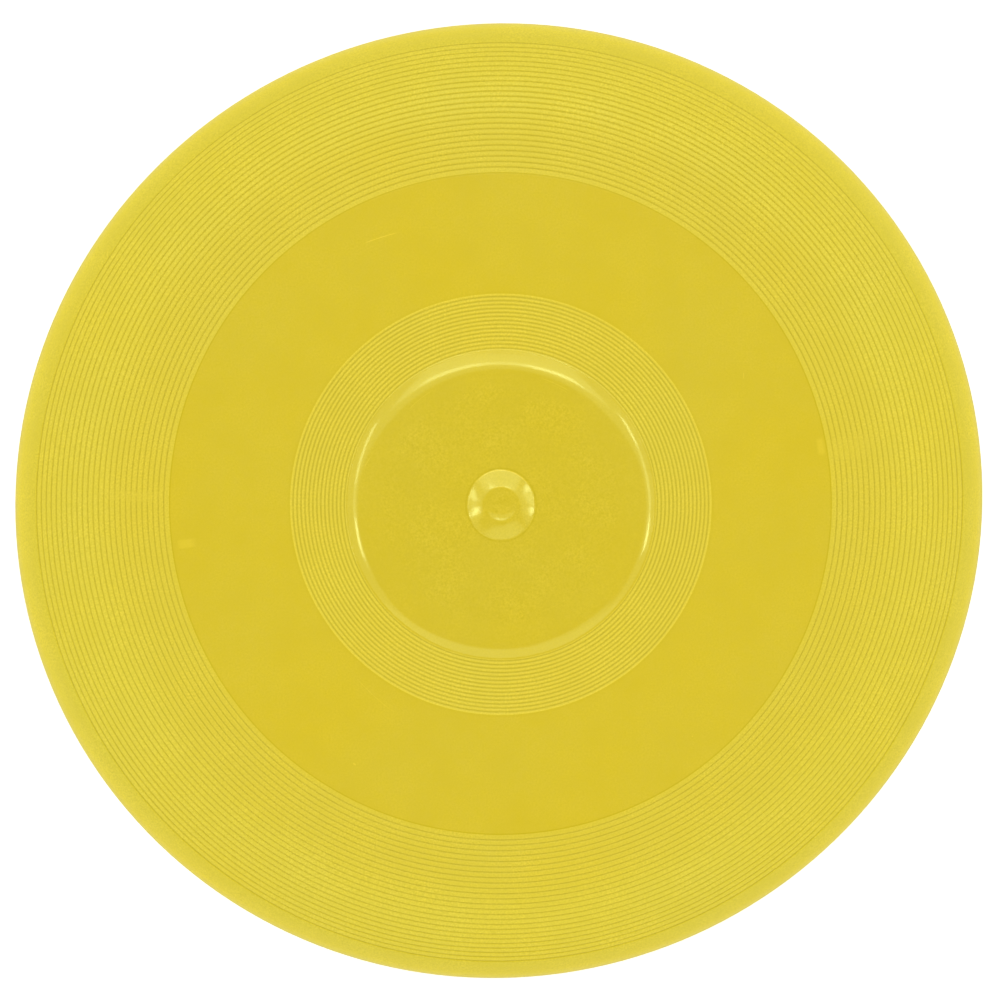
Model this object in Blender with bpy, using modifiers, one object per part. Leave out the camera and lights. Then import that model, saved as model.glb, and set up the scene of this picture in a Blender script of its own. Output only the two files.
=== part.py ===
"""A moulded flying disc: one thin plastic shell, turned about +Z, standing on its rim.

Metres, +Z up. The origin is the centre of the rim's foot, so the disc stands on z = 0 with its
flight plate on top. The disc is a single injection moulding, so it is a single solid. Its section
is one closed outline, half of the disc wide, which runs out from the axis along the upper side,
down the rim, round the lip and back to the axis along the underside.

The two bands of concentric grooves in the upper side are a surface finish about 0.2 mm deep. This
solid holds the plain surface that they are cut into.
"""

import math

import bpy

MM = 0.001

# Driving dimensions
DISC_RADIUS = 117.5 * MM  # at the widest part of the rim
PLATE_HEIGHT = 25.0 * MM  # the flat flight plate's upper side above the foot
PLATE_THICKNESS = 1.8 * MM
RIM_THICKNESS = 2.4 * MM  # the wall below the roll
LIP_THICKNESS = 3.4 * MM  # the bead that a thrower's fingers hook round

# The upper side bends down from the plate in a wide shoulder, then in a tighter roll to the rim.
SHOULDER_START_RADIUS = 91.2 * MM
SHOULDER_BEND_RADIUS = 48.3 * MM
SHOULDER_END_SLOPE = math.radians(24.1)
RIM_DRAFT = math.radians(1.5)  # the rim's wall leans in towards its foot

# The lip: a flat foot between two rounded corners, and a bead on the inside
LIP_CORNER_RADIUS = 1.1 * MM
BEAD_HEIGHT = 4.2 * MM
BEAD_BLEND_HEIGHT = 2.6 * MM

# The raised centre, a low pad whose edge falls away in a gentle curve
CUPOLA_RADIUS = 31.5 * MM  # the flat top, inside that edge
CUPOLA_EDGE_RADIUS = 19.5 * MM
CUPOLA_EDGE_SLOPE = math.radians(15.5)
CUPOLA_FOOT_RADIUS = 0.4 * MM

# The boss where the plastic enters the mould: a domed flank, a rounded crest, and inside the crest
# the shallow dish where the gate is trimmed
BOSS_RADIUS = 8.2 * MM
BOSS_FLANK_RADIUS = 100 * MM
BOSS_FLANK_TOP_SLOPE = math.radians(10.8)
BOSS_CREST_RADIUS = 4.02 * MM
BOSS_CREST_BEND_RADIUS = 3 * MM
GATE_RECESS_BEND_RADIUS = 15 * MM
GATE_RECESS_SLOPE = math.radians(9.3)

# The plain band for a print lies between the two grooved bands.
PRINT_BAND_INNER_RADIUS = 50.9 * MM
PRINT_BAND_OUTER_RADIUS = 78.9 * MM

FACETS_ROUND_THE_DISC = 88  # a multiple of 4, so that the disc is as wide along Y as along X
MERGE_DISTANCE = 0.01 * MM

DISC_NAME = "flying_disc"
DISC_YELLOW = (0.708, 0.552, 0.033, 1.0)

# Worked out from the dimensions above
SHOULDER_END_RADIUS = SHOULDER_START_RADIUS + SHOULDER_BEND_RADIUS * math.sin(SHOULDER_END_SLOPE)
ROLL_BEND_RADIUS = (DISC_RADIUS - SHOULDER_END_RADIUS) / (1 - math.sin(SHOULDER_END_SLOPE))
SHOULDER_CENTRE_Z = PLATE_HEIGHT - SHOULDER_BEND_RADIUS
SHOULDER_END_Z = SHOULDER_CENTRE_Z + SHOULDER_BEND_RADIUS * math.cos(SHOULDER_END_SLOPE)
ROLL_CENTRE_RADIUS = DISC_RADIUS - ROLL_BEND_RADIUS
ROLL_CENTRE_Z = SHOULDER_END_Z - ROLL_BEND_RADIUS * math.cos(SHOULDER_END_SLOPE)
CUPOLA_HEIGHT = (CUPOLA_EDGE_RADIUS + CUPOLA_FOOT_RADIUS) * (1 - math.cos(CUPOLA_EDGE_SLOPE))
CUPOLA_TOP_Z = PLATE_HEIGHT + CUPOLA_HEIGHT
FLANK_CENTRE_RADIUS = BOSS_CREST_RADIUS - (BOSS_FLANK_RADIUS - BOSS_CREST_BEND_RADIUS) * math.sin(
    BOSS_FLANK_TOP_SLOPE
)
BOSS_FOOT_SLOPE = math.asin((BOSS_RADIUS - FLANK_CENTRE_RADIUS) / BOSS_FLANK_RADIUS)
FLANK_CENTRE_Z = CUPOLA_TOP_Z - BOSS_FLANK_RADIUS * math.cos(BOSS_FOOT_SLOPE)
CREST_CENTRE_Z = FLANK_CENTRE_Z + (BOSS_FLANK_RADIUS - BOSS_CREST_BEND_RADIUS) * math.cos(
    BOSS_FLANK_TOP_SLOPE
)
GATE_RECESS_BENDS = BOSS_CREST_BEND_RADIUS + GATE_RECESS_BEND_RADIUS
GATE_FLOOR_RADIUS = BOSS_CREST_RADIUS - GATE_RECESS_BENDS * math.sin(GATE_RECESS_SLOPE)
GATE_FLOOR_CENTRE_Z = CREST_CENTRE_Z + GATE_RECESS_BENDS * math.cos(GATE_RECESS_SLOPE)
GATE_FLOOR_Z = GATE_FLOOR_CENTRE_Z - GATE_RECESS_BEND_RADIUS


def bend(centre_radius, centre_z, bend_radius, start_slope, end_slope, segments):
    """Points (radius, z) along an arc, clockwise from its top, where the slope is 0."""
    points = []
    for i in range(segments + 1):
        slope = start_slope + (end_slope - start_slope) * i / segments
        radius = centre_radius + bend_radius * math.sin(slope)
        z = centre_z + bend_radius * math.cos(slope)
        points.append((radius, z))
    return points


def cupola_edge(flat_radius, top_z, edge_radius, foot_radius, segments):
    """The raised centre's rounded edge, which falls from its top and meets the plate in a fillet."""
    falling = bend(flat_radius, top_z - edge_radius, edge_radius, 0, CUPOLA_EDGE_SLOPE, segments)
    foot_centre_radius = flat_radius + (edge_radius + foot_radius) * math.sin(CUPOLA_EDGE_SLOPE)
    foot_centre_z = top_z - edge_radius + (edge_radius + foot_radius) * math.cos(CUPOLA_EDGE_SLOPE)
    flattening = bend(
        foot_centre_radius,
        foot_centre_z,
        foot_radius,
        CUPOLA_EDGE_SLOPE + math.pi,
        math.pi,
        2,
    )
    return falling + flattening[1:]


def gate_and_boss():
    """From the axis out: the shallow dish where the gate is trimmed, and the boss round it."""
    dish = bend(
        GATE_FLOOR_RADIUS,
        GATE_FLOOR_CENTRE_Z,
        GATE_RECESS_BEND_RADIUS,
        math.pi,
        math.pi - GATE_RECESS_SLOPE,
        2,
    )
    crest = bend(
        BOSS_CREST_RADIUS,
        CREST_CENTRE_Z,
        BOSS_CREST_BEND_RADIUS,
        -GATE_RECESS_SLOPE,
        BOSS_FLANK_TOP_SLOPE,
        3,
    )
    flank = bend(
        FLANK_CENTRE_RADIUS,
        FLANK_CENTRE_Z,
        BOSS_FLANK_RADIUS,
        BOSS_FLANK_TOP_SLOPE,
        BOSS_FOOT_SLOPE,
        2,
    )
    return [(0, GATE_FLOOR_Z)] + dish + crest[1:] + flank[1:]


def centre_of_upper_side():
    """From the axis out: the boss, and the flat cupola round it with its edge."""
    edge = cupola_edge(CUPOLA_RADIUS, CUPOLA_TOP_Z, CUPOLA_EDGE_RADIUS, CUPOLA_FOOT_RADIUS, 4)
    return gate_and_boss() + edge


def plate_and_rim_outside():
    """The flat plate, the shoulder, the roll and the rim's outer wall down to the foot."""
    flat = [(PRINT_BAND_INNER_RADIUS, PLATE_HEIGHT), (PRINT_BAND_OUTER_RADIUS, PLATE_HEIGHT)]
    shoulder = bend(
        SHOULDER_START_RADIUS,
        SHOULDER_CENTRE_Z,
        SHOULDER_BEND_RADIUS,
        0,
        SHOULDER_END_SLOPE,
        6,
    )
    roll = bend(
        ROLL_CENTRE_RADIUS,
        ROLL_CENTRE_Z,
        ROLL_BEND_RADIUS,
        SHOULDER_END_SLOPE,
        math.pi / 2 + RIM_DRAFT,
        8,
    )
    return flat + shoulder + roll[1:]


def lip():
    """The two rounded corners of the lip, outer one first, with the flat foot between them."""
    wall_top_radius, wall_top_z = plate_and_rim_outside()[-1]
    outer_radius = wall_top_radius - (wall_top_z - LIP_CORNER_RADIUS) * math.tan(RIM_DRAFT)
    outer = bend(
        outer_radius - LIP_CORNER_RADIUS,
        LIP_CORNER_RADIUS,
        LIP_CORNER_RADIUS,
        math.pi / 2,
        math.pi,
        3,
    )
    inner = bend(
        outer_radius - LIP_THICKNESS + LIP_CORNER_RADIUS,
        LIP_CORNER_RADIUS,
        LIP_CORNER_RADIUS,
        math.pi,
        math.pi * 3 / 2,
        3,
    )
    return outer + inner


def rim_inside():
    """The bead, the inner wall above it, and the roll and shoulder on the hollow side."""
    bead_radius = lip()[-1][0]
    bead = [(bead_radius, BEAD_HEIGHT)]
    roll = bend(
        ROLL_CENTRE_RADIUS,
        ROLL_CENTRE_Z,
        ROLL_BEND_RADIUS - RIM_THICKNESS,
        math.pi / 2,
        SHOULDER_END_SLOPE,
        6,
    )
    wall = [(roll[0][0], BEAD_HEIGHT + BEAD_BLEND_HEIGHT)]
    shoulder = bend(
        SHOULDER_START_RADIUS,
        SHOULDER_CENTRE_Z,
        SHOULDER_BEND_RADIUS - PLATE_THICKNESS,
        SHOULDER_END_SLOPE,
        0,
        5,
    )
    return bead + wall + roll + shoulder[1:]


def centre_of_underside():
    """The shallow recess below the cupola, which keeps the wall even, back to the axis."""
    edge_radius = CUPOLA_EDGE_RADIUS - PLATE_THICKNESS
    foot_radius = CUPOLA_FOOT_RADIUS + PLATE_THICKNESS
    recess_z = CUPOLA_TOP_Z - PLATE_THICKNESS
    edge = cupola_edge(CUPOLA_RADIUS, recess_z, edge_radius, foot_radius, 3)
    return edge[::-1] + [(0, recess_z)]


def section():
    """The whole closed outline, as points (radius, z)."""
    return (
        centre_of_upper_side()
        + plate_and_rim_outside()
        + lip()
        + rim_inside()
        + centre_of_underside()
    )


def clear_scene():
    for old in list(bpy.data.objects):
        bpy.data.objects.remove(old, do_unlink=True)


def disc_collection():
    collection = bpy.data.collections.new(DISC_NAME)
    bpy.context.scene.collection.children.link(collection)
    return collection


def yellow_plastic():
    """Low-density polyethylene, coloured through, with a soft gloss."""
    material = bpy.data.materials.new("yellow_polyethylene")
    material.use_nodes = True
    shader = material.node_tree.nodes["Principled BSDF"]
    shader.inputs["Base Color"].default_value = DISC_YELLOW
    shader.inputs["Roughness"].default_value = 0.38
    shader.inputs["Metallic"].default_value = 0.0
    return material


def make_disc(collection):
    """The section, turned once round the axis."""
    outline = section()
    points = [(radius, 0, z) for radius, z in outline]
    edges = [(i, i + 1) for i in range(len(points) - 1)]
    mesh = bpy.data.meshes.new(DISC_NAME)
    mesh.from_pydata(points, edges, [])
    disc = bpy.data.objects.new(DISC_NAME, mesh)
    collection.objects.link(disc)

    turned = disc.modifiers.new("turned", "SCREW")
    turned.axis = "Z"
    turned.angle = math.tau
    turned.screw_offset = 0
    turned.steps = FACETS_ROUND_THE_DISC
    turned.render_steps = FACETS_ROUND_THE_DISC
    turned.use_merge_vertices = True
    turned.merge_threshold = MERGE_DISTANCE
    turned.use_smooth_shade = True

    mesh.materials.append(yellow_plastic())
    return disc


def main():
    clear_scene()
    make_disc(disc_collection())


main()
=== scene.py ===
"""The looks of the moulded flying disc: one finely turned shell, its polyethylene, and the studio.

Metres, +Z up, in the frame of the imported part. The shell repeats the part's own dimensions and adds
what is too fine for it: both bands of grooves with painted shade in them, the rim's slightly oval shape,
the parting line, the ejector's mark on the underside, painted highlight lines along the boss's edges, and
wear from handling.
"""

import math

import bpy
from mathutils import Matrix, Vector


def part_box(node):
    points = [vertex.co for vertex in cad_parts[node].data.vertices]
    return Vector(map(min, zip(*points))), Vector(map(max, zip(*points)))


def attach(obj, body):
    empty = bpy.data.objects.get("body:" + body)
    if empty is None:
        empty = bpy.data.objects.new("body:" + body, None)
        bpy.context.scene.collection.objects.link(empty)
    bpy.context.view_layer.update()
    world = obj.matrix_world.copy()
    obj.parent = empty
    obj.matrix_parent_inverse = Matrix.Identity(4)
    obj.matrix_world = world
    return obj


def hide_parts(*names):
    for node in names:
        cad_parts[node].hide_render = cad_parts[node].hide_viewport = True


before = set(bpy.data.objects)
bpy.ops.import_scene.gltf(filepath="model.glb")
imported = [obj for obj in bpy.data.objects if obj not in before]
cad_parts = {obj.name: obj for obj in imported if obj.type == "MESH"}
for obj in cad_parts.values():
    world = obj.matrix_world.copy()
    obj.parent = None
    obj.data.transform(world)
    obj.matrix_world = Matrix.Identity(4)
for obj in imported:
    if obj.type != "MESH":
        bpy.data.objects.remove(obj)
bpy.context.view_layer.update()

MM = 0.001
DISC_NODE = "flying_disc"
node_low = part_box(DISC_NODE)[0]

# The part's dimensions, with its foot taken from the frame
DISC_RADIUS = 117.5 * MM
FOOT_Z = node_low[2]
PLATE_HEIGHT = FOOT_Z + 25.0 * MM
PLATE_THICKNESS = 1.8 * MM
RIM_THICKNESS = 2.4 * MM
LIP_THICKNESS = 3.4 * MM
SHOULDER_START_RADIUS = 91.2 * MM
SHOULDER_BEND_RADIUS = 48.3 * MM
SHOULDER_END_SLOPE = math.radians(24.1)
RIM_DRAFT = math.radians(1.5)
LIP_CORNER_RADIUS = 1.1 * MM
BEAD_HEIGHT = 4.2 * MM
BEAD_BLEND_HEIGHT = 2.6 * MM
CUPOLA_RADIUS = 31.5 * MM
CUPOLA_EDGE_RADIUS = 19.5 * MM
CUPOLA_EDGE_SLOPE = math.radians(15.5)
CUPOLA_FOOT_RADIUS = 0.4 * MM
BOSS_RADIUS = 8.2 * MM
BOSS_FLANK_RADIUS = 100 * MM
BOSS_FLANK_TOP_SLOPE = math.radians(10.8)
BOSS_FOOT_BEND_RADIUS = 1.6 * MM
BOSS_CREST_RADIUS = 4.02 * MM
BOSS_CREST_BEND_RADIUS = 3 * MM
GATE_RECESS_BEND_RADIUS = 15 * MM
GATE_RECESS_SLOPE = math.radians(9.3)

# What only the looks have
INNER_GROOVES = 14
INNER_GROOVE_FIRST = 37.42 * MM  # from the axis to the bottom of the first groove
INNER_GROOVE_PITCH = 0.9455 * MM
INNER_GROOVE_DEPTH = 0.12 * MM
INNER_BAND_START = INNER_GROOVE_FIRST - 0.3 * INNER_GROOVE_PITCH
INNER_BAND_END = INNER_GROOVE_FIRST + (INNER_GROOVES - 0.25) * INNER_GROOVE_PITCH
OUTER_GROOVES = 25
OUTER_GROOVE_FIRST = 80.55 * MM
OUTER_GROOVE_PITCH = 1.301 * MM  # measured along the surface, down over the shoulder
OUTER_GROOVE_DEPTH = 0.145 * MM
PRINT_BAND_EDGE = 79.15 * MM  # a very shallow groove that closes the print band
PRINT_BAND_GROOVE_DEPTH = 0.04 * OUTER_GROOVE_DEPTH
# the print band's groove gets this share of the painted groove shade
PRINT_BAND_GROOVE_SHADE = 0.55  # it is this dark beside the other grooves
OUTER_BAND_START = PRINT_BAND_EDGE + 0.14 * MM
PRINT_BAND_MIDDLE = 62 * MM
GATE_SCAR_RADIUS = 2.1 * MM
BOSS_OVAL = 0.2 * MM  # the boss is this much longer along Y, and narrower along X
BOSS_LEAN = math.radians(0.35)  # and it leans a little to the east
PARTING_LINE_Z = FOOT_Z + 9.4 * MM
PARTING_LINE_HEIGHT = 0.07 * MM
PARTING_LINE_WIDTH = 0.3 * MM
EJECTOR_MARK_RADIUS = 9.0 * MM
EJECTOR_MARK_DEPTH = 0.15 * MM
SUPPORT = 0.06 * MM  # a loop this far from an edge keeps the flat beside it flat
SEGMENTS_ROUND_THE_DISC = 192
OUT_OF_ROUND = 0.98 * MM  # the soft rim is this much wider along its long axis, and narrower across
LONG_AXIS = math.radians(20.3)

# Worked out from the dimensions above
SHOULDER_END_RADIUS = SHOULDER_START_RADIUS + SHOULDER_BEND_RADIUS * math.sin(SHOULDER_END_SLOPE)
ROLL_BEND_RADIUS = (DISC_RADIUS - SHOULDER_END_RADIUS) / (1 - math.sin(SHOULDER_END_SLOPE))
SHOULDER_CENTRE_Z = PLATE_HEIGHT - SHOULDER_BEND_RADIUS
SHOULDER_END_Z = SHOULDER_CENTRE_Z + SHOULDER_BEND_RADIUS * math.cos(SHOULDER_END_SLOPE)
ROLL_CENTRE_RADIUS = DISC_RADIUS - ROLL_BEND_RADIUS
ROLL_CENTRE_Z = SHOULDER_END_Z - ROLL_BEND_RADIUS * math.cos(SHOULDER_END_SLOPE)
CUPOLA_HEIGHT = (CUPOLA_EDGE_RADIUS + CUPOLA_FOOT_RADIUS) * (1 - math.cos(CUPOLA_EDGE_SLOPE))
CUPOLA_TOP_Z = PLATE_HEIGHT + CUPOLA_HEIGHT
FLANK_CENTRE_RADIUS = BOSS_CREST_RADIUS - (BOSS_FLANK_RADIUS - BOSS_CREST_BEND_RADIUS) * math.sin(
    BOSS_FLANK_TOP_SLOPE
)
BOSS_FOOT_SLOPE = math.asin((BOSS_RADIUS - FLANK_CENTRE_RADIUS) / BOSS_FLANK_RADIUS)
FLANK_CENTRE_Z = CUPOLA_TOP_Z - BOSS_FLANK_RADIUS * math.cos(BOSS_FOOT_SLOPE)
CREST_CENTRE_Z = FLANK_CENTRE_Z + (BOSS_FLANK_RADIUS - BOSS_CREST_BEND_RADIUS) * math.cos(
    BOSS_FLANK_TOP_SLOPE
)
GATE_RECESS_BENDS = BOSS_CREST_BEND_RADIUS + GATE_RECESS_BEND_RADIUS
GATE_FLOOR_RADIUS = BOSS_CREST_RADIUS - GATE_RECESS_BENDS * math.sin(GATE_RECESS_SLOPE)
GATE_FLOOR_CENTRE_Z = CREST_CENTRE_Z + GATE_RECESS_BENDS * math.cos(GATE_RECESS_SLOPE)
GATE_FLOOR_Z = GATE_FLOOR_CENTRE_Z - GATE_RECESS_BEND_RADIUS


def bend(centre_radius, centre_z, bend_radius, start_slope, end_slope, segments):
    """Points (radius, z) along an arc, clockwise from its top, where the slope is 0."""
    points = []
    for i in range(segments + 1):
        slope = start_slope + (end_slope - start_slope) * i / segments
        radius = centre_radius + bend_radius * math.sin(slope)
        z = centre_z + bend_radius * math.cos(slope)
        points.append((radius, z))
    return points


def cupola_edge(flat_radius, top_z, edge_radius, foot_radius, segments):
    """The raised centre's rounded edge, which falls from its top and meets the plate in a fillet."""
    falling = bend(flat_radius, top_z - edge_radius, edge_radius, 0, CUPOLA_EDGE_SLOPE, segments)
    foot_centre_radius = flat_radius + (edge_radius + foot_radius) * math.sin(CUPOLA_EDGE_SLOPE)
    foot_centre_z = top_z - edge_radius + (edge_radius + foot_radius) * math.cos(CUPOLA_EDGE_SLOPE)
    flattening = bend(
        foot_centre_radius,
        foot_centre_z,
        foot_radius,
        CUPOLA_EDGE_SLOPE + math.pi,
        math.pi,
        3,
    )
    return falling + flattening[1:]


def gate_and_boss():
    """From the axis out: the shallow dish where the gate was trimmed, and the boss round it."""
    recess = bend(
        GATE_FLOOR_RADIUS,
        GATE_FLOOR_CENTRE_Z,
        GATE_RECESS_BEND_RADIUS,
        math.pi,
        math.pi - GATE_RECESS_SLOPE,
        10,
    )
    crest = bend(
        BOSS_CREST_RADIUS,
        CREST_CENTRE_Z,
        BOSS_CREST_BEND_RADIUS,
        -GATE_RECESS_SLOPE,
        BOSS_FLANK_TOP_SLOPE,
        8,
    )
    flank = bend(
        FLANK_CENTRE_RADIUS,
        FLANK_CENTRE_Z,
        BOSS_FLANK_RADIUS,
        BOSS_FLANK_TOP_SLOPE,
        BOSS_FOOT_SLOPE,
        6,
    )
    foot_end = BOSS_RADIUS + BOSS_FOOT_BEND_RADIUS * math.tan(BOSS_FOOT_SLOPE / 2)
    foot = bend(
        foot_end,
        CUPOLA_TOP_Z + BOSS_FOOT_BEND_RADIUS,
        BOSS_FOOT_BEND_RADIUS,
        BOSS_FOOT_SLOPE + math.pi,
        math.pi,
        6,
    )
    # a faint ring of painted shade round the boss's foot
    shade = [
        (foot_end + SUPPORT, CUPOLA_TOP_Z, 0.4),
        (foot_end + 4 * SUPPORT, CUPOLA_TOP_Z, 0.3),
        (foot_end + 9 * SUPPORT, CUPOLA_TOP_Z),
    ]
    return [(0, GATE_FLOOR_Z)] + recess + crest[1:] + flank[1:-1] + foot + shade


def upper_side(distance):
    """The plain upper side at a distance from the axis along it, as (radius, z, slope)."""
    beyond = distance - SHOULDER_START_RADIUS
    if beyond <= 0:
        return distance, PLATE_HEIGHT, 0
    slope = beyond / SHOULDER_BEND_RADIUS
    radius = SHOULDER_START_RADIUS + SHOULDER_BEND_RADIUS * math.sin(slope)
    z = SHOULDER_CENTRE_Z + SHOULDER_BEND_RADIUS * math.cos(slope)
    return radius, z, slope


def sunk(distance, depth):
    """The point (radius, z) that lies this deep below the plain upper side."""
    radius, z, slope = upper_side(distance)
    return radius - depth * math.sin(slope), z - depth * math.cos(slope)


def inner_band():
    """Fine rounded ribs side by side. Every point ends with its share of the groove's depth and painted
    shade.
    """
    points = [(*sunk(INNER_BAND_START, 0), 0.0)]
    shape = [(0.0, 1.0), (0.14, 0.72), (0.3, 0.22), (0.5, 0.0), (0.7, 0.22), (0.86, 0.72)]
    for i in range(INNER_GROOVES):
        start = INNER_GROOVE_FIRST + i * INNER_GROOVE_PITCH
        for across, share in shape:
            distance = start + across * INNER_GROOVE_PITCH
            points.append((*sunk(distance, share * INNER_GROOVE_DEPTH), share))
    last_rib = len(points) - 2
    end = [(*sunk(INNER_BAND_END, 0), 0.0), (*sunk(INNER_BAND_END + 4 * SUPPORT, 0), 0.15)]
    return points[:last_rib] + end + [(*sunk(INNER_BAND_END + 12 * SUPPORT, 0), 0.0)]


def outer_band():
    """Flat lands parted by narrow grooves, from the print band down over the shoulder."""
    groove_start = PRINT_BAND_EDGE - 0.17 * OUTER_GROOVE_PITCH
    points = [
        (*sunk(groove_start - 2 * SUPPORT, 0), 0.0),
        (*sunk(groove_start - SUPPORT, 0), 0.0),
    ]
    shape = [(-0.3, 0.0), (-0.17, 0.06), (-0.07, 0.75), (0.0, 1.0), (0.07, 0.75), (0.17, 0.06), (0.3, 0.0)]
    for across, share in shape[1:-1]:
        distance = PRINT_BAND_EDGE + across * OUTER_GROOVE_PITCH
        depth = share * PRINT_BAND_GROOVE_DEPTH
        points.append((*sunk(distance, depth), share * PRINT_BAND_GROOVE_SHADE))
    for i in range(OUTER_GROOVES):
        centre = OUTER_GROOVE_FIRST + i * OUTER_GROOVE_PITCH
        for across, share in shape:
            distance = centre + across * OUTER_GROOVE_PITCH
            points.append((*sunk(distance, share * OUTER_GROOVE_DEPTH), share))
    return points


def rim_outside():
    """The roll, the rim's wall with the mould's parting line on it, and the lip's outer corner."""
    roll = bend(
        ROLL_CENTRE_RADIUS,
        ROLL_CENTRE_Z,
        ROLL_BEND_RADIUS,
        SHOULDER_END_SLOPE + math.radians(4.5),
        math.pi / 2 + RIM_DRAFT,
        16,
    )
    wall_radius, wall_z = roll[-1]

    def on_wall(z, out=0):
        return wall_radius - (wall_z - z) * math.tan(RIM_DRAFT) + out, z

    line = [
        on_wall(PARTING_LINE_Z + PARTING_LINE_WIDTH),
        on_wall(PARTING_LINE_Z + PARTING_LINE_WIDTH / 2),
        on_wall(PARTING_LINE_Z, PARTING_LINE_HEIGHT),
        on_wall(PARTING_LINE_Z - PARTING_LINE_WIDTH / 2),
        on_wall(PARTING_LINE_Z - PARTING_LINE_WIDTH),
    ]
    corner_radius, corner_z = on_wall(FOOT_Z + LIP_CORNER_RADIUS)
    corner = bend(
        corner_radius - LIP_CORNER_RADIUS,
        corner_z,
        LIP_CORNER_RADIUS,
        math.pi / 2,
        math.pi,
        6,
    )
    return roll + line + [on_wall(corner_z + 4 * SUPPORT)] + corner


def rim_inside(lip_radius):
    """The lip's inner corner, the bead, and the roll and shoulder on the hollow side."""
    corner = bend(
        lip_radius + LIP_CORNER_RADIUS,
        FOOT_Z + LIP_CORNER_RADIUS,
        LIP_CORNER_RADIUS,
        math.pi,
        math.pi * 3 / 2,
        6,
    )
    roll = bend(
        ROLL_CENTRE_RADIUS,
        ROLL_CENTRE_Z,
        ROLL_BEND_RADIUS - RIM_THICKNESS,
        math.pi / 2,
        SHOULDER_END_SLOPE,
        12,
    )
    wall_radius = roll[0][0]
    blend = []
    blend_steps = 6
    for i in range(blend_steps + 1):
        share = i / blend_steps
        ease = (1 - math.cos(math.pi * share)) / 2
        radius = lip_radius + (wall_radius - lip_radius) * ease
        blend.append((radius, FOOT_Z + BEAD_HEIGHT + BEAD_BLEND_HEIGHT * share))
    shoulder = bend(
        SHOULDER_START_RADIUS,
        SHOULDER_CENTRE_Z,
        SHOULDER_BEND_RADIUS - PLATE_THICKNESS,
        SHOULDER_END_SLOPE,
        0,
        8,
    )
    return corner + blend + roll + shoulder[1:]


def centre_of_underside():
    """The shallow recess below the cupola, and the round mark that the ejector leaves, to the axis."""
    recess_z = CUPOLA_TOP_Z - PLATE_THICKNESS
    edge = cupola_edge(
        CUPOLA_RADIUS,
        recess_z,
        CUPOLA_EDGE_RADIUS - PLATE_THICKNESS,
        CUPOLA_FOOT_RADIUS + PLATE_THICKNESS,
        6,
    )
    mark = [
        (EJECTOR_MARK_RADIUS + 3 * SUPPORT, recess_z),
        (EJECTOR_MARK_RADIUS + SUPPORT, recess_z),
        (EJECTOR_MARK_RADIUS, recess_z + EJECTOR_MARK_DEPTH),
        (EJECTOR_MARK_RADIUS - 2 * SUPPORT, recess_z + EJECTOR_MARK_DEPTH),
        (0, recess_z + EJECTOR_MARK_DEPTH),
    ]
    return edge[::-1] + mark


def section():
    """The closed outline from the axis over the top to the foot, and from there back to the axis,
    as points (radius, z) or, on the grooved bands and round the boss's foot, (radius, z, share of painted
    groove shade)."""
    outside = rim_outside()
    lip_outer_radius = max(point[0] for point in outside if point[1] <= FOOT_Z + LIP_CORNER_RADIUS)
    upper = (
        gate_and_boss()
        + cupola_edge(CUPOLA_RADIUS, CUPOLA_TOP_Z, CUPOLA_EDGE_RADIUS, CUPOLA_FOOT_RADIUS, 10)
        + inner_band()
        + outer_band()
        + outside
    )
    return upper, rim_inside(lip_outer_radius - LIP_THICKNESS) + centre_of_underside()


def out_of_round(radius, azimuth):
    """The radius in this direction. The rim has gone a little oval, as soft discs do, and the boss
    in the middle is a little oval too."""
    free = max(0.0, radius - SHOULDER_START_RADIUS) / (DISC_RADIUS - SHOULDER_START_RADIUS)
    rim = OUT_OF_ROUND * free**2 * math.cos(2 * (azimuth - LONG_AXIS))
    near_boss = max(0.0, min(radius / BOSS_RADIUS, 2 - radius / BOSS_RADIUS))
    return radius + rim - BOSS_OVAL * near_boss**3 * math.cos(2 * azimuth)


def turned_shell(name):
    """The section turned once round the axis, as a mesh object. Each point keeps its share of painted
    groove shade, and its radius in the section, which the oval rim doesn't change. The underside
    keeps the print band's radius, because it is plain like the print band all over."""
    upper, under = section()
    start, *rings, end = upper + under
    segments = SEGMENTS_ROUND_THE_DISC
    points = [(0, 0, start[1])]
    shares = [0.0]
    radii = [0.0]
    for place, ring in enumerate(rings):
        kept_radius = ring[0] if place < len(upper) - 1 else PRINT_BAND_MIDDLE
        for i in range(segments):
            azimuth = math.tau * i / segments
            radius = out_of_round(ring[0], azimuth)
            x, y = radius * math.cos(azimuth), radius * math.sin(azimuth)
            lean = x * math.tan(BOSS_LEAN) if ring[0] < BOSS_RADIUS else 0.0
            points.append((x, y, ring[1] - lean))
            shares.append(ring[2] if len(ring) > 2 else 0.0)
            radii.append(kept_radius)
    points.append((0, 0, end[1]))
    shares.append(0.0)
    radii.append(PRINT_BAND_MIDDLE)

    last = len(points) - 1
    faces = []
    for i in range(segments):
        following = (i + 1) % segments
        faces.append((0, 1 + i, 1 + following))
        for k in range(len(rings) - 1):
            inner, outer = 1 + k * segments, 1 + (k + 1) * segments
            faces.append((inner + i, outer + i, outer + following, inner + following))
        ring_start = 1 + (len(rings) - 1) * segments
        faces.append((last, ring_start + following, ring_start + i))

    mesh = bpy.data.meshes.new(name)
    mesh.from_pydata(points, [], faces)
    mesh.shade_smooth()
    # the groove attribute carries each point's share of painted groove shade
    mesh.attributes.new("groove", "FLOAT", "POINT").data.foreach_set("value", shares)
    mesh.attributes.new("ring", "FLOAT", "POINT").data.foreach_set("value", radii)
    shell = bpy.data.objects.new(name, mesh)
    bpy.context.scene.collection.objects.link(shell)
    return shell


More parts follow.
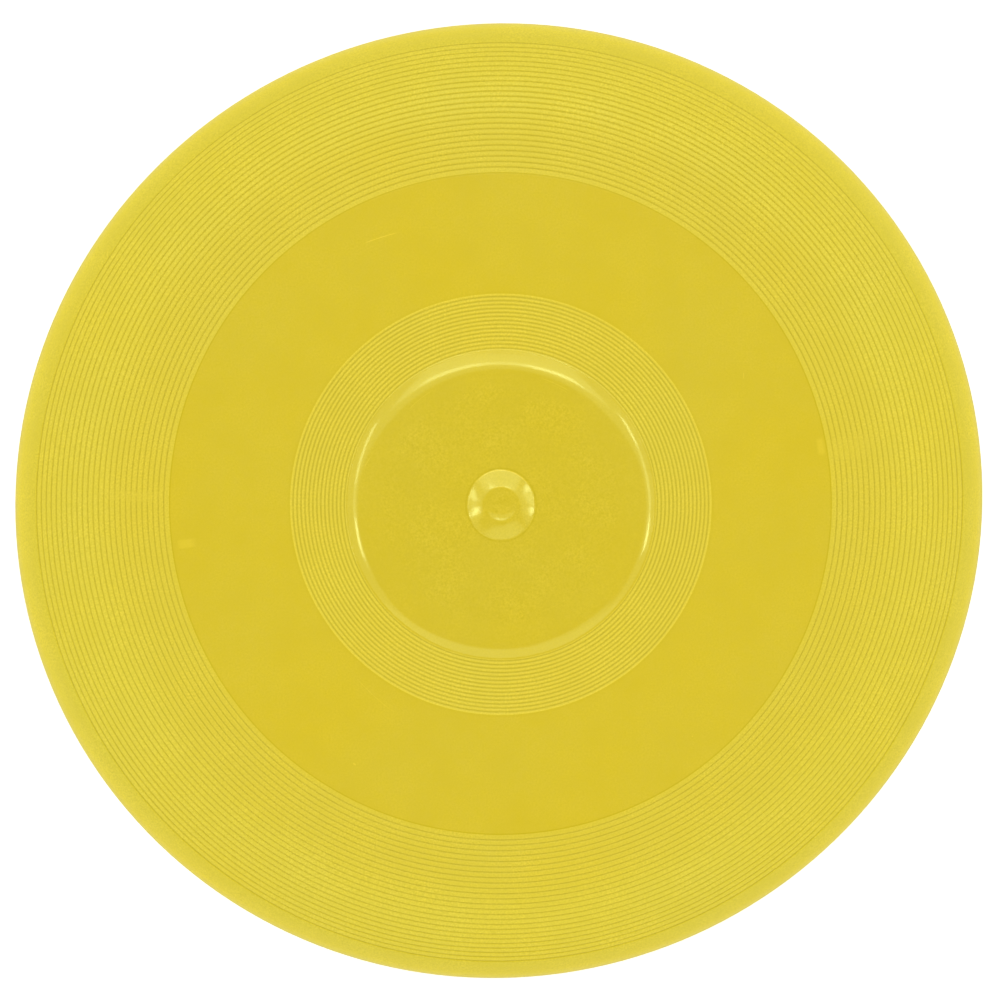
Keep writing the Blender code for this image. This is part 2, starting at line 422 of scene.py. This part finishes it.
class Nodes:
    """A material's or a world's nodes, added one by one and joined as they are made."""

    def __init__(self, tree):
        self.tree = tree
        tree.nodes.clear()

    def add(self, kind, settings=None, **inputs):
        node = self.tree.nodes.new(kind)
        for name, value in (settings or {}).items():
            setattr(node, name, value)
        for name, value in inputs.items():
            self.feed(node.inputs[name.replace("_", " ")], value)
        return node

    def feed(self, socket, value):
        if isinstance(value, bpy.types.NodeSocket):
            self.tree.links.new(value, socket)
        else:
            socket.default_value = value

    def math(self, operation, *values):
        node = self.tree.nodes.new("ShaderNodeMath")
        node.operation = operation
        for socket, value in zip(node.inputs, values):
            self.feed(socket, value)
        return node.outputs[0]

    def step(self, value, start, end, low=0.0, high=1.0):
        """A smooth rise from low at start to high at end."""
        node = self.tree.nodes.new("ShaderNodeMapRange")
        node.interpolation_type = "SMOOTHSTEP"
        for socket, given in zip(node.inputs, (value, start, end, low, high)):
            self.feed(socket, given)
        return node.outputs[0]

    def mix(self, share, first, second):
        node = self.tree.nodes.new("ShaderNodeMix")
        node.data_type = "RGBA"
        self.feed(node.inputs["Factor"], share)
        self.feed(node.inputs["A"], first)
        self.feed(node.inputs["B"], second)
        return node.outputs["Result"]


# Colours, as linear shares of red, green and blue. The plastic is one colour; these differ so that
# each zone looks as light as it should in this studio, the rim's edge most of all.
RAISED_CENTRE_YELLOW = (0.597, 0.464, 0.0250, 1)
PRINT_BAND_YELLOW = (0.612, 0.474, 0.0264, 1)
INNER_BAND_YELLOW = (0.677, 0.529, 0.0285, 1)
OUTER_BAND_YELLOW = (0.626, 0.491, 0.0245, 1)
SHOULDER_YELLOW = (0.638, 0.513, 0.0275, 1)
RIM_YELLOW = (0.607, 0.488, 0.0210, 1)
RIM_EDGE_YELLOW = (0.775, 0.625, 0.020, 1)
# Painted shade in the grooves, and how strongly it is mixed in
INNER_GROOVE_SHADE_YELLOW = (0.445, 0.34, 0.001, 1)
OUTER_GROOVE_SHADE_YELLOW = (0.445, 0.345, 0.001, 1)
INNER_GROOVE_SHADE_STRENGTH = 0.85
OUTER_GROOVE_SHADE_STRENGTH = 0.68
POLISHED_ROUGHNESS = 0.095
MATT_ROUGHNESS = 0.42
RIM_ROUGHNESS = 0.30

# Painted highlight lines along the boss's edges, then marks from handling: radius, azimuth and half length
# in degrees, tilt in mm per degree, half width, and how much lighter than the plastic round it
BOSS_HIGHLIGHTS_AND_WEAR = [
    (8.1 * MM, 88, 62, 0, 0.22 * MM, 0.2),
    (8.0 * MM, 185, 45, 0, 0.18 * MM, 0.1),
    (4.3 * MM, 88, 42, 0, 0.24 * MM, 0.13),
    (31.7 * MM, 66, 8, 0, 0.13 * MM, 0.10),
    (31.1 * MM, 63, 5, 0, 0.10 * MM, 0.06),
    (31.8 * MM, 128, 8, -0.01 * MM, 0.13 * MM, 0.07),
    (33.5 * MM, 162, 3, 0.15 * MM, 0.12 * MM, 0.12),
    (27.4 * MM, -62, 9, 0.01 * MM, 0.12 * MM, 0.06),
    (69.9 * MM, 114.2, 4.0, 0.14 * MM, 0.15 * MM, 0.2),
    (55.0 * MM, -123.5, 7, 0.15 * MM, 0.14 * MM, 0.09),
    (65.7 * MM, 28, 0.7, 0.6 * MM, 0.15 * MM, 0.14),
    (71.4 * MM, -119.5, 0.4, 0, 0.3 * MM, 0.16),
    (75.7 * MM, -173, 1.0, 0, 2.8 * MM, 0.09),
    (77.8 * MM, 10.3, 1.8, 0, 1.2 * MM, 0.09),
]

# Where the grooves are worn away their painted shade fades: the same, with the share of it that is gone
WORN_GROOVES = [
    (87.5 * MM, 178.7, 1.0, 0, 8.0 * MM, 0.75),
    (85.0 * MM, 9.3, 2.3, 0, 7.5 * MM, 0.65),
]


def highlight_or_wear_mark(n, radius, azimuth, at_radius, at_azimuth, half_length, tilt, half_width, lighter):
    """How much lighter the plastic is on one painted highlight line, hairline scratch or rubbed spot, and
    0 beside it.
    """
    along = n.math("SUBTRACT", azimuth, math.radians(at_azimuth))
    middle = n.math("MULTIPLY_ADD", along, tilt / math.radians(1), at_radius)
    across = n.math("ABSOLUTE", n.math("SUBTRACT", radius, middle))
    half_length = math.radians(half_length)
    return n.math(
        "MULTIPLY",
        n.step(n.math("ABSOLUTE", along), half_length, half_length * 0.5, 0.0, lighter),
        n.step(across, half_width, half_width * 0.3),
    )


def polyethylene():
    """Yellow polyethylene: glossy where the mould was polished, matt on the grooved bands."""
    material = bpy.data.materials.new("yellow_polyethylene")
    material.use_nodes = True
    n = Nodes(material.node_tree)
    place = n.add("ShaderNodeTexCoord").outputs["Object"]
    parts = n.add("ShaderNodeSeparateXYZ", Vector=place)
    radius = n.add("ShaderNodeAttribute", {"attribute_name": "ring"}).outputs["Fac"]
    groove = n.add("ShaderNodeAttribute", {"attribute_name": "groove"}).outputs["Fac"]
    azimuth = n.math("ARCTAN2", parts.outputs["Y"], parts.outputs["X"])
    for mark in WORN_GROOVES:
        left = n.math("SUBTRACT", 1.0, highlight_or_wear_mark(n, radius, azimuth, *mark))
        groove = n.math("MULTIPLY", groove, left)

    # the bands' matt finish starts and ends within this distance
    soft = 0.07 * MM
    in_inner = n.math(
        "MULTIPLY",
        n.step(radius, INNER_BAND_START - soft, INNER_BAND_START + soft),
        n.step(radius, INNER_BAND_END + soft, INNER_BAND_END - soft),
    )
    in_outer = n.step(radius, OUTER_BAND_START - soft, OUTER_BAND_START + soft)
    matt = n.math("ADD", in_inner, in_outer)

    on_plate = n.step(radius, 36 * MM, 38 * MM)
    on_shoulder = n.step(radius, 86 * MM, 100 * MM)
    on_rim = n.step(radius, 110.6 * MM, 111.6 * MM)
    on_edge = n.math(
        "MULTIPLY",
        n.step(radius, 112.5 * MM, 117.3 * MM),
        n.step(parts.outputs["Z"], FOOT_Z - 2 * MM, FOOT_Z + 14 * MM),
    )
    smooth = n.mix(on_plate, RAISED_CENTRE_YELLOW, PRINT_BAND_YELLOW)
    outer = n.mix(on_shoulder, OUTER_BAND_YELLOW, SHOULDER_YELLOW)
    outer = n.mix(on_rim, outer, RIM_YELLOW)
    outer = n.mix(on_edge, outer, RIM_EDGE_YELLOW)
    plain = n.mix(in_inner, smooth, INNER_BAND_YELLOW)
    plain = n.mix(in_outer, plain, outer)
    # painted shade in the grooves and round the boss's foot, as much as each point's groove share
    dark = n.mix(in_inner, OUTER_GROOVE_SHADE_YELLOW, INNER_GROOVE_SHADE_YELLOW)
    strength = n.step(in_outer, 0, 1, INNER_GROOVE_SHADE_STRENGTH, OUTER_GROOVE_SHADE_STRENGTH)
    colour = n.mix(n.math("MULTIPLY", groove, strength), plain, dark)
    roughness = n.step(matt, 0, 1, POLISHED_ROUGHNESS, MATT_ROUGHNESS)
    roughness = n.math("MULTIPLY_ADD", on_rim, RIM_ROUGHNESS - MATT_ROUGHNESS, roughness)

    # a fine grain, strongest on the matt bands, and wide faint clouds
    grain = n.add("ShaderNodeTexNoise", Vector=place, Scale=2200.0, Detail=3.0)
    tint = n.add("ShaderNodeTexNoise", Vector=place, Scale=700.0, Detail=3.0)
    clouds = n.add("ShaderNodeTexNoise", Vector=place, Scale=110.0, Detail=4.0)
    on_plateau = n.step(radius, 29 * MM, 27.5 * MM)
    grain_size = n.math(
        "MULTIPLY",
        n.math(
            "ADD",
            n.math("MULTIPLY", matt, 0.24),
            n.math("MULTIPLY_ADD", on_plateau, 0.17, 0.16),
        ),
        n.step(clouds.outputs["Fac"], 0.35, 0.65, 0.6, 1.3),
    )
    light = n.math(
        "ADD",
        n.math("MULTIPLY", n.math("SUBTRACT", grain.outputs["Fac"], 0.5), grain_size),
        n.math("MULTIPLY_ADD", n.math("SUBTRACT", clouds.outputs["Fac"], 0.5), 0.07, 1.0),
    )
    # the boss is a little lighter all over, with a rough spot where the gate was cut off
    on_boss = n.step(radius, BOSS_RADIUS + 0.4 * MM, BOSS_RADIUS)
    light = n.math("MULTIPLY_ADD", on_boss, 0.012, light)
    in_scar = n.step(radius, GATE_SCAR_RADIUS * 1.2, GATE_SCAR_RADIUS * 0.8)
    scar = n.math("MULTIPLY", in_scar, n.step(tint.outputs["Fac"], 0.4, 0.6, -0.05, 0.04))
    light = n.math("ADD", light, scar)
    # dust specks, painted highlight lines along the boss's edges, and wear from handling
    dust = n.add("ShaderNodeTexVoronoi", Vector=place, Scale=130.0)
    chosen = n.add("ShaderNodeSeparateXYZ", Vector=dust.outputs["Color"]).outputs["X"]
    speck = n.math(
        "MULTIPLY",
        n.step(dust.outputs["Distance"], 0.03, 0.012),
        n.math("GREATER_THAN", chosen, 0.9),
    )
    light = n.math("MULTIPLY_ADD", speck, 0.16, light)
    for mark in BOSS_HIGHLIGHTS_AND_WEAR:
        light = n.math("ADD", light, highlight_or_wear_mark(n, radius, azimuth, *mark))
    # the blue share is small, so the same haze changes it more
    blue = n.math("MULTIPLY_ADD", n.math("SUBTRACT", light, 1.0), 3.0, 1.0)
    blue = n.math(
        "MULTIPLY",
        blue,
        n.math("MULTIPLY_ADD", n.math("SUBTRACT", tint.outputs["Fac"], 0.5), 0.45, 1.0),
    )
    # wide patches a little more golden or more green than the rest
    patches = n.add("ShaderNodeTexNoise", Vector=place, Scale=32.0, Detail=2.0)
    golden = n.math("SUBTRACT", patches.outputs["Fac"], 0.5)
    red = n.math("MULTIPLY", light, n.math("MULTIPLY_ADD", golden, 0.05, 1.0))
    blue = n.math("MULTIPLY", blue, n.math("MULTIPLY_ADD", golden, -0.6, 1.0))
    shade = n.add("ShaderNodeVectorMath", {"operation": "MULTIPLY"})
    n.feed(shade.inputs[0], colour)
    n.feed(shade.inputs[1], n.add("ShaderNodeCombineXYZ", X=red, Y=light, Z=blue).outputs[0])

    shader = n.add("ShaderNodeBsdfPrincipled")
    n.feed(shader.inputs["Base Color"], shade.outputs[0])
    n.feed(shader.inputs["Roughness"], roughness)
    shader.inputs["IOR"].default_value = 1.51
    shader.inputs["Specular IOR Level"].default_value = 0.62
    shader.inputs["Specular Tint"].default_value = (0.85, 1.0, 0.45, 1)
    out = n.add("ShaderNodeOutputMaterial")
    n.feed(out.inputs["Surface"], shader.outputs[0])
    return material


def floor_paper():
    """Plain white studio paper."""
    material = bpy.data.materials.new("white_paper")
    material.use_nodes = True
    n = Nodes(material.node_tree)
    place = n.add("ShaderNodeTexCoord").outputs["Object"]
    fibres = n.add("ShaderNodeTexNoise", Vector=place, Scale=400.0, Detail=4.0)
    colour = n.mix(fibres.outputs["Fac"], (0.92, 0.92, 0.92, 1), (0.94, 0.94, 0.94, 1))
    shader = n.add("ShaderNodeBsdfPrincipled", Roughness=0.9)
    n.feed(shader.inputs["Base Color"], colour)
    shader.inputs["Emission Color"].default_value = (1, 1, 1, 1)
    shader.inputs["Emission Strength"].default_value = 0.35
    out = n.add("ShaderNodeOutputMaterial")
    n.feed(out.inputs["Surface"], shader.outputs[0])
    return material


def make_floor():
    bpy.ops.mesh.primitive_plane_add(size=12, location=(0, 0, FOOT_Z - 0.05 * MM))
    floor = bpy.context.object
    floor.name = "floor"
    floor.data.materials.append(floor_paper())
    # the rim mirrors the dim lower part of the tent and not the glowing paper
    floor.visible_glossy = False


# The tent's opening, in shares of its height above the disc
OPENING_X = 0.045
OPENING_Y = -0.155
OPENING_HALF_WIDTH = 0.395
OPENING_HALF_DEPTH = 0.275


def light_tent():
    """An even white tent, with a dark opening overhead where the camera and its holder are."""
    world = bpy.data.worlds.new("light_tent")
    bpy.context.scene.world = world
    world.use_nodes = True
    n = Nodes(world.node_tree)
    direction = n.add("ShaderNodeTexCoord").outputs["Generated"]
    parts = n.add("ShaderNodeSeparateXYZ", Vector=direction)
    # how far a direction is from the middle of the opening, a rounded oblong, in shares of its size
    rise = n.math("MAXIMUM", parts.outputs["Z"], 0.01)
    across = n.math("SUBTRACT", n.math("DIVIDE", parts.outputs["X"], rise), OPENING_X)
    along = n.math("SUBTRACT", n.math("DIVIDE", parts.outputs["Y"], rise), OPENING_Y)
    reach = n.math(
        "POWER",
        n.math(
            "ADD",
            n.math("POWER", n.math("ABSOLUTE", n.math("DIVIDE", across, OPENING_HALF_WIDTH)), 4.0),
            n.math("POWER", n.math("ABSOLUTE", n.math("DIVIDE", along, OPENING_HALF_DEPTH)), 4.0),
        ),
        0.25,
    )
    above = n.math("GREATER_THAN", parts.outputs["Z"], 0.0)
    dark = n.math("MULTIPLY", n.step(reach, 1.04, 0.97), above)
    # the tent is dimmer towards the ground, and dark below it
    level = n.math(
        "MULTIPLY",
        n.step(parts.outputs["Z"], 0.0, 0.3, 0.92, 1.0),
        n.step(parts.outputs["Z"], -0.3, 0.05, 0.45, 1.0),
    )
    tent = n.add("ShaderNodeCombineXYZ", X=level, Y=level, Z=level).outputs[0]
    colour = n.mix(dark, tent, (0.12, 0.12, 0.12, 1))
    background = n.add("ShaderNodeBackground", Strength=1.06)
    n.feed(background.inputs["Color"], colour)
    out = n.add("ShaderNodeOutputWorld")
    n.feed(out.inputs["Surface"], background.outputs[0])


LIGHT_HEIGHT = 3.0
# Level light panels overhead: x, y, width and depth as shares of their height above the disc, turn in
# degrees, and radiance
LIGHTS = {
    "north_edge_west": (-0.11, 0.293, 0.18, 0.068, -7.7, 5.2),
    "north_edge_middle": (0.025, 0.277, 0.09, 0.068, -5, 3.5),
    "north_edge_east": (0.145, 0.274, 0.15, 0.062, 10, 7.7),
    "north_panel": (0.01, 0.375, 0.58, 0.13, 0, 1.5),
    "north_panel_west": (-0.2, 0.37, 0.14, 0.12, 0, 0.9),
    "north_panel_east": (0.22, 0.37, 0.14, 0.12, 0, 0.9),
    "north_glow": (0.01, 0.41, 0.64, 0.34, 0, 1.4),
    "south_panel": (0.0, -0.655, 1.2, 0.44, 0, 0.66),
    "south_east_fill": (0.25, -0.4, 0.26, 0.07, 15, 1.2),
    "west_strip_south": (-0.427, -0.14, 0.055, 0.13, 0, 9.5),
    "west_strip_middle": (-0.45, -0.025, 0.055, 0.1, 0, 1.6),
    "west_strip_north": (-0.44, 0.145, 0.055, 0.22, -2.5, 5.5),
    "east_strip_north": (0.466, 0.222, 0.058, 0.12, 22, 7.6),
    "east_strip_middle": (0.538, 0.045, 0.07, 0.22, 22, 2.9),
    "east_strip_south": (0.558, -0.145, 0.06, 0.13, 0, 10.5),
}


def make_lights():
    for name, (x, y, width, depth, turn, radiance) in LIGHTS.items():
        light = bpy.data.lights.new(name, "AREA")
        light.shape = "RECTANGLE"
        light.size = width * LIGHT_HEIGHT
        light.size_y = depth * LIGHT_HEIGHT
        light.energy = radiance * math.pi * light.size * light.size_y
        lamp = bpy.data.objects.new(name, light)
        lamp.location = (x * LIGHT_HEIGHT, y * LIGHT_HEIGHT, PLATE_HEIGHT + LIGHT_HEIGHT)
        lamp.rotation_euler = (0, 0, math.radians(turn))
        lamp.visible_camera = False
        bpy.context.scene.collection.objects.link(lamp)


CAMERA_LENS = 90.33
CAMERA_DISTANCE = 0.6
CAMERA_NORTH = math.radians(1.77)
CAMERA_WEST = math.radians(0.93)


def make_camera():
    """Almost straight above the disc, a little to the north and west of its axis."""
    data = bpy.data.cameras.new("camera")
    data.lens = CAMERA_LENS
    data.sensor_width = 36
    camera = bpy.data.objects.new("camera", data)
    north, west, distance = CAMERA_NORTH, CAMERA_WEST, CAMERA_DISTANCE
    camera.location = (
        -distance * math.sin(west),
        distance * math.sin(north),
        PLATE_HEIGHT + distance * math.cos(north),
    )
    # it looks at a point just north-west of the axis, so the disc lies a little low in the picture
    camera.rotation_euler = (math.radians(0.11) - north, math.radians(0.025) - west, 0)
    bpy.context.scene.collection.objects.link(camera)
    bpy.context.scene.camera = camera


def main():
    shell = turned_shell("moulded_disc")
    shell.data.materials.clear()
    shell.data.materials.append(polyethylene())
    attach(shell, "root")
    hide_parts(DISC_NODE)
    make_floor()
    light_tent()
    make_lights()
    make_camera()
    bpy.context.scene.view_settings.view_transform = "Standard"


main()
